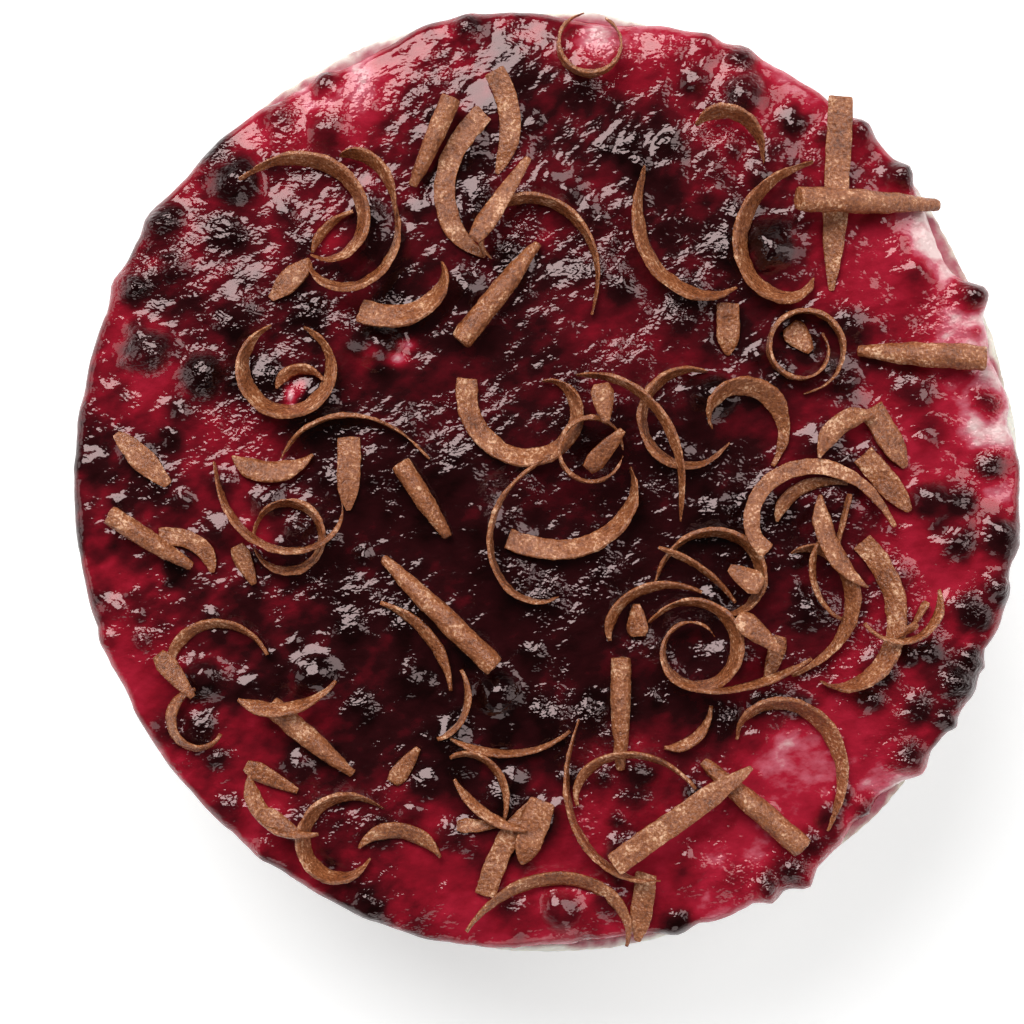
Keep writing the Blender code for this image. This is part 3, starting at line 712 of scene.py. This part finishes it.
def glaze_piece(material):
    """The glaze as one skin with a lumpy, wrinkled top that follows its solid, and a round drooping rim."""
    tree = solid_tree("berry_glaze")
    low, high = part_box("berry_glaze")
    directions = np.arange(GLAZE_CASTS + 1) * math.tau / GLAZE_CASTS
    levels = np.linspace(low[2] + 0.3 * MM, high[2] - 2.0 * MM, GLAZE_LEVELS)
    reach = []
    for angle in directions[:-1]:
        across, along = math.cos(angle), math.sin(angle)
        found = [
            hit(tree, (BESIDE * across, BESIDE * along, height), (-across, -along, 0)) for height in levels
        ]
        reach.append(max(math.hypot(point.x, point.y) for point in found if point))
    reach = around(np.array(reach), 1)
    reach = reach + rim_shape(directions[:-1])
    x, y = disc_grid(GLAZE_SIDE)
    angle = np.mod(np.arctan2(y, x), math.tau)
    limit = np.interp(angle, directions, np.append(reach, reach[0]))
    stretch = limit * np.hypot(x, y)
    flat_x, flat_y = stretch * np.cos(angle), stretch * np.sin(angle)
    heights = np.empty(x.shape)
    for index in np.ndindex(x.shape):
        inside = min(1.0, (limit[index] - RIM_INSET) / max(stretch[index], 1e-9))
        found = hit(tree, (flat_x[index] * inside, flat_y[index] * inside, ABOVE), DOWN)
        heights[index] = found.z if found else high[2] - RIM_DEPTH
    bulk = blurred(heights, BULK_PASSES)
    heights = blurred(heights, TOP_PASSES)
    raised = np.clip((heights - bulk - 0.2 * MM) / (1.3 * MM), 0, 1)
    flat = np.stack([flat_x.ravel(), flat_y.ravel(), np.zeros(flat_x.size)], axis=1)
    warped = [0.9 * MM * smooth_noise(flat, 3.0 * MM, 60 + axis).reshape(flat_x.shape) for axis in range(2)]
    sunk, sunk_tone = sunken_berries(flat_x + warped[0], flat_y + warped[1])
    heights = heights + sunk
    stands_out = blurred(np.maximum(raised, sunk_tone), 2).ravel()
    points = np.stack([flat_x.ravel(), flat_y.ravel(), heights.ravel()], axis=1)
    wiped = drawn(points, 0.6, 1.25)
    clusters = rough_noise(points, CLUSTERS[0], 2, 51) + 0.7 * rough_noise(points, CLUSTERS[1], 2, 53)
    clusters = clusters + 0.5 * stands_out
    crinkle = np.clip(0.38 + 0.62 * clusters, 0.27, 1.0)
    relief = relief_of_top(points, crinkle, LUMPS)
    relief = relief + relief_of_top(wiped, crinkle, FOLDS) + relief_of_top(wiped, crinkle, WRINKLES)
    droop = np.clip(1 - (limit - stretch).ravel() / DROOP_WIDTH, 0, 1)
    points[:, 2] += relief * (1 - 0.5 * droop) - DROOP * (1 - np.sqrt(1 - droop**2))
    side = GLAZE_SIDE + 1
    grid = np.arange(side * side).reshape(side, side)
    quads = np.stack([grid[:-1, :-1], grid[1:, :-1], grid[1:, 1:], grid[:-1, 1:]], axis=-1).reshape(-1, 4)
    faces = quads.tolist()
    loop = np.concatenate([grid[:-1, 0], grid[-1, :-1], grid[:0:-1, -1], grid[0, :0:-1]])
    rim = points[loop]
    layers = [points]
    before = loop
    start = len(points)
    for drop, bulge in RIM_RINGS:
        ring = rim.copy()
        out = ring[:, :2] / np.linalg.norm(ring[:, :2], axis=1)[:, None]
        ring[:, :2] += out * bulge * MM
        ring[:, 2] -= drop * MM * (1 + 0.25 * smooth_noise(ring, 7 * MM, 5))
        layers.append(ring)
        current = np.arange(start, start + len(loop))
        ahead, behind = np.roll(current, -1), np.roll(before, -1)
        faces += np.stack([before, current, ahead, behind], axis=-1).tolist()
        start += len(loop)
        before = current
    layers.append(np.array([[0, 0, rim[:, 2].mean() - 3 * MM]]))
    faces += [[int(a), start, int(b)] for a, b in zip(before, np.roll(before, -1))]
    points = np.concatenate(layers)
    stands_out = np.append(stands_out, np.zeros(len(points) - len(stands_out)))
    crinkle = np.append(crinkle, np.full(len(points) - len(crinkle), RIM_CRINKLE))
    values = {"tone": glaze_tone(points, stands_out), "crinkle": crinkle}
    return new_piece("berry_glaze_top", points, faces, material, "berry_glaze", values)


# Chocolate

# Unevenness of the surface as (depth, size), coarse and fine
SHAVING_LUMPS = (0.22 * MM, 3.0 * MM)
SHAVING_GRAIN = (0.10 * MM, 0.9 * MM)
# Faces that meet more gently than this are joined, and edges sharper than the second angle stay creased
NEARLY_FLAT = math.radians(50)
SHARP_EDGE = math.radians(60)
EDGE_CREASE = 0.72


def chocolate_piece(node, material, seed):
    """A chocolate solid with its steps smoothed, its long edges kept crisp and its surface uneven."""
    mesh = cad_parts[node].data.copy()
    made = bmesh.new()
    made.from_mesh(mesh)
    bmesh.ops.remove_doubles(made, verts=made.verts, dist=1e-6)
    bmesh.ops.join_triangles(
        made, faces=made.faces, angle_face_threshold=NEARLY_FLAT, angle_shape_threshold=math.pi
    )
    crease = made.edges.layers.float.new("crease_edge")
    for edge in made.edges:
        if len(edge.link_faces) == 2 and edge.calc_face_angle() > SHARP_EDGE:
            edge[crease] = EDGE_CREASE
    made.to_mesh(mesh)
    made.free()
    rough = bpy.data.objects.new(node + "_cage", mesh)
    bpy.context.scene.collection.objects.link(rough)
    finer = rough.modifiers.new("finer", "SUBSURF")
    finer.levels = finer.render_levels = CHOCOLATE_LEVELS
    smooth = bpy.data.meshes.new_from_object(rough.evaluated_get(bpy.context.evaluated_depsgraph_get()))
    bpy.data.objects.remove(rough)
    count = len(smooth.vertices)
    points, normals = np.empty(count * 3), np.empty(count * 3)
    smooth.vertices.foreach_get("co", points)
    smooth.vertices.foreach_get("normal", normals)
    points, normals = points.reshape(-1, 3), normals.reshape(-1, 3)
    uneven = SHAVING_LUMPS[0] * rough_noise(points, SHAVING_LUMPS[1], 2, seed)
    uneven = uneven + SHAVING_GRAIN[0] * rough_noise(points, SHAVING_GRAIN[1], 2, seed + 3)
    points = points + normals * uneven[:, None]
    faces = [list(face.vertices) for face in smooth.polygons]
    bpy.data.meshes.remove(smooth)
    return new_piece(node + "_shaving", points, faces, material, node)


# Thin slivers between the larger shavings, in millimetres: centre, first and last radius, first and last
# direction in degrees, width, lean
SLIVERS = (
    (-45, 46, 11.7, 16.4, 144, 90, 2.4, 60), (58, -15, 7.3, 18.3, 131, 51, 3.4, 35),
    (79, 10, 17.3, 5.7, -164, -233, 4.7, 10), (85, -4, 22.3, 23.6, 178, 241, 4.6, 15),
    (75, -20, 14, 14, 155, 240, 2.4, 65), (82, -27, 8.4, 10.9, 13, -148, 3.0, 60),
    (20, -50, 35, 32, 81, 43, 3.0, 55), (-42, -55, 27, 20.5, 83, 18, 3.4, 55),
    (-57, 20, 6, 6, 166, 33, 3.2, 40), (-65, 15, 12.3, 13.8, -131, -40, 4.9, 20),
    (-4, -39, 27.8, 21, -132, -64, 2.8, 60), (-23, -70, 5.8, 15.5, 86, -34, 3.8, 55),
    (-2, -59, 22, 22, -153, -97, 3.0, 60), (10, -78, 25, 4.2, 16, 136, 4.0, 60),
    (13, -112, 32.8, 6.7, 166, 39, 4.0, 50), (26, -54, 7.9, 12, -82, 9, 3.0, 60),
    (18, -41, 5.5, 23.3, 132, 41, 4.4, 50), (21, -11, 39, 50, -71, -37, 3.0, 60),
    (-78, -45, 14, 9, 20, 190, 3.6, 55), (-58, -66, 11, 16, 190, 290, 4.2, 35),
    (-80, -56, 8, 5, 100, 330, 3.8, 60), (-38, -92, 14, 9, 20, 130, 4.2, 25),
    (-66, -36, 15, 20, 250, 330, 4.0, 50), (-30, -52, 9, 13, 300, 400, 3.2, 60),
)
# Short straight ones: both ends, width, lean
SPLINTERS = (
    (56, 36, 61, 30, 6.5, 10), (70, -3, 67, -15, 2.6, 60), (88, -28, 85, -33, 2.6, 50),
    (85, -33, 80, -36, 2.4, 40), (49, -24.5, 41.5, -20, 6.0, 10), (9, 2.5, 17, 11.5, 5.2, 25),
    (12, 22, 13, 13, 5.6, 15), (-72, -15, -68, -24, 4.8, 15), (-21, -80, -12, -80, 3.6, 20),
    (21, -36, 20.5, -28.5, 5.5, 20), (43, -31, 53, -39, 5.5, 20), (54, -36, 50.5, -47.5, 4.5, 20),
    (-17, 55, -4.5, 74, 5.2, 15), (-70, -66, -58, -72, 4.6, 10), (-90, -40, -82, -50, 5.0, 15),
    (-66, -76, -57, -81, 4.4, 10), (-36, -70, -30, -62, 4.6, 15),
)
SLIVER_THICKNESS = 0.9 * MM
SLIVER_STEP = 0.8 * MM
SLIVER_GAP = 0.1 * MM
# How many times the height of a sliver is eased, so that it spans what lies under it without a kink
SLIVER_PASSES = 300
# The corners of its section, as shares of half its width and half its thickness
SLIVER_CORNERS = ((-1, -0.6), (-0.55, -1), (0.55, -1), (1, -0.6), (1, 0.6), (0.55, 1), (-0.55, 1), (-1, 0.6))


def sliver_route(row):
    """The route of a sliver from above, as evenly spread points, and its width and lean."""
    if len(row) == 8:
        x, y, first_radius, last_radius, first, last, width, lean = row
        middle = (first_radius + last_radius) / 2
        length = abs(math.radians(last - first)) * middle * MM
    else:
        x, y, to_x, to_y, width, lean = row
        length = math.hypot(to_x - x, to_y - y) * MM
    t = np.linspace(0, 1, max(6, int(length / SLIVER_STEP)))
    if len(row) == 8:
        angle = np.radians(first + (last - first) * t)
        radius = first_radius + (last_radius - first_radius) * t
        flat = np.stack([x + radius * np.cos(angle), y + radius * np.sin(angle)], axis=1)
    else:
        flat = np.stack([x + (to_x - x) * t, y + (to_y - y) * t], axis=1)
    return flat * MM, width * MM, math.radians(lean), t


def eased(heights, weights):
    """Each height mixed with its two neighbours by the given weights."""
    return np.convolve(np.concatenate([heights[:1], heights, heights[-1:]]), weights, "valid")


def slivers_piece(material, trees):
    """All slivers as one piece: narrow bands with drawn-out ends, laid over whatever is under them."""
    draw = random.Random(5)
    points, faces = [], []
    for row in SLIVERS + SPLINTERS:
        flat, width, lean, t = sliver_route(row)
        if len(row) == 8:
            taper = np.clip(np.minimum(0.12 + 4 * t, 0.1 + 2.6 * (1 - t)), 0, 1)
        else:
            taper = np.minimum(1, 0.6 + 2 * t) * (1 - 0.72 * t**2)
        along = np.gradient(flat, axis=0)
        along /= np.linalg.norm(along, axis=1)[:, None]
        side = np.stack([-along[:, 1], along[:, 0]], axis=1)
        turning = np.sign(along[0, 0] * along[-1, 1] - along[0, 1] * along[-1, 0]) or 1.0
        tilt = turning * lean * (1 + 0.25 * np.sin(3 * t + draw.uniform(0, 6)))
        across = width / 2 * taper
        rise = np.abs(np.sin(tilt)) * across + SLIVER_THICKNESS / 2
        ground = np.full(len(flat), -1.0)
        for share in (-1, -0.5, 0, 0.5, 1):
            reach = share * across * np.cos(tilt)
            for index, (x, y) in enumerate(flat + side * reach[:, None]):
                found = [hit(tree, (x, y, ABOVE), DOWN) for tree in trees]
                ground[index] = max([ground[index]] + [point.z for point in found if point])
        low = ground + rise + SLIVER_GAP
        height = low.copy()
        for _ in range(SLIVER_PASSES):
            height = np.maximum(low, eased(height, (0.5, 0.0, 0.5)))
        height = np.maximum(height, eased(height, (0.3, 0.4, 0.3)))
        start = len(points)
        count = len(SLIVER_CORNERS)
        for index in range(len(flat)):
            out = np.array([*side[index] * math.cos(tilt[index]), -math.sin(tilt[index])])
            up = np.array([*side[index] * math.sin(tilt[index]), math.cos(tilt[index])])
            middle = np.array([*flat[index], height[index]])
            for wide, thick in SLIVER_CORNERS:
                bend = 0.10 * across[index] * (wide**2 - 0.5)
                lift = thick * SLIVER_THICKNESS / 2 + bend
                points.append(middle + out * wide * across[index] + up * lift)
        for index in range(len(flat) - 1):
            here, ahead = start + index * count, start + (index + 1) * count
            for corner in range(count):
                following = (corner + 1) % count
                faces.append([here + corner, here + following, ahead + following, ahead + corner])
        faces.append([start + corner for corner in reversed(range(count))])
        faces.append([start + (len(flat) - 1) * count + corner for corner in range(count)])
    points = np.array(points)
    points += 0.10 * MM * np.stack([rough_noise(points, 1.6 * MM, 2, 70 + k) for k in range(3)], axis=1)
    return new_piece("chocolate_slivers", points, faces, material, None)


# Stage

FLOOR_SIZE = 40.0
FLOOR_LEVEL = -0.2 * MM
# How far the glaze's rim, which fills the photograph's frame, lies below the highest berry
RIM_BELOW_TOP = 5.5 * MM
# What all lamps point at
AIM = (0, 0, 0.08)


def add_floor(material):
    bpy.ops.mesh.primitive_plane_add(size=FLOOR_SIZE, location=(0, 0, FLOOR_LEVEL))
    floor = bpy.context.object
    floor.name = "floor"
    floor.data.materials.append(material)


def add_camera():
    """Straight above the cake, moved aside as the cake stands off the middle of the photograph."""
    data = bpy.data.cameras.new("camera")
    data.lens = LENS
    data.sensor_width = SENSOR
    camera = bpy.data.objects.new("camera", data)
    half = IMAGE_SIDE / 2
    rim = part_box("berry_glaze")[1][2] - RIM_BELOW_TOP
    away = IMAGE_SIDE * MM_PER_PIXEL * MM * LENS / SENSOR
    aside = (half - CAKE_PIXEL[0]) * MM_PER_PIXEL * MM
    ahead = (CAKE_PIXEL[1] - half) * MM_PER_PIXEL * MM
    camera.location = (aside, ahead, rim + away)
    bpy.context.scene.collection.objects.link(camera)
    bpy.context.scene.camera = camera


def add_area(name, location, size, power):
    data = bpy.data.lights.new(name, "AREA")
    data.shape = "DISK"
    data.size = size
    data.energy = power
    light = bpy.data.objects.new(name, data)
    light.location = location
    light.rotation_euler = (Vector(AIM) - Vector(location)).to_track_quat("-Z", "Y").to_euler()
    bpy.context.scene.collection.objects.link(light)


# The grey of the studio's walls by height, from the horizon at 0 to straight above at 1
WALLS = ((0.0, 0.56), (0.16, 0.45), (0.36, 0.03))


def add_light():
    add_area("key", (-0.40, 0.85, 1.35), 1.0, 20.5)
    add_area("key_right", (0.75, 0.50, 1.30), 0.85, 6.5)
    add_area("fill_right", (1.5, -0.1, 0.75), 1.0, 4.0)
    add_area("fill_front", (0.1, -1.6, 0.8), 1.0, 4.0)
    add_area("fill_left", (-1.5, 0.1, 0.75), 1.0, 4.0)
    world = bpy.data.worlds.new("studio")
    world.use_nodes = True
    nodes, links = world.node_tree.nodes, world.node_tree.links
    place = nodes.new("ShaderNodeTexCoord")
    split = nodes.new("ShaderNodeSeparateXYZ")
    links.new(place.outputs["Generated"], split.inputs[0])
    walls = ramp(nodes, links, split.outputs["Z"], [(height, (grey,) * 3) for height, grey in WALLS])
    links.new(walls, nodes["Background"].inputs["Color"])
    bpy.context.scene.world = world
    bpy.context.scene.view_settings.view_transform = "Standard"


def build():
    sponge, cream = sponge_material(), cream_material()
    glaze, chocolate = glaze_material(), chocolate_material()
    for seed, node in enumerate(("sponge_bottom", "sponge_middle", "sponge_top")):
        layer_piece(
            node + "_crumb", node, sponge, SPONGE_STEP, crumb_relief(100 * seed),
            overlap=1.1 * MM, corner=0.8 * MM, ragged=1.3 * MM, seed=300 + 10 * seed,
        )
    for seed, node in enumerate(("cream_lower", "cream_upper", "cream_top")):
        layer_piece(
            node + "_spread", node, cream, CREAM_STEP, cream_relief(500 + 100 * seed),
            overlap=0.5 * MM, corner=1.2 * MM, ragged=0.25 * MM, seed=700 + 10 * seed,
        )
    glaze_piece(glaze)
    shavings = sorted(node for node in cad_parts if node.startswith("chocolate"))
    for seed, node in enumerate(shavings):
        chocolate_piece(node, chocolate, 900 + 7 * seed)
    slivers_piece(chocolate, [solid_tree(node) for node in ["berry_glaze", *shavings]])
    add_floor(floor_material())
    add_camera()
    add_light()


build()
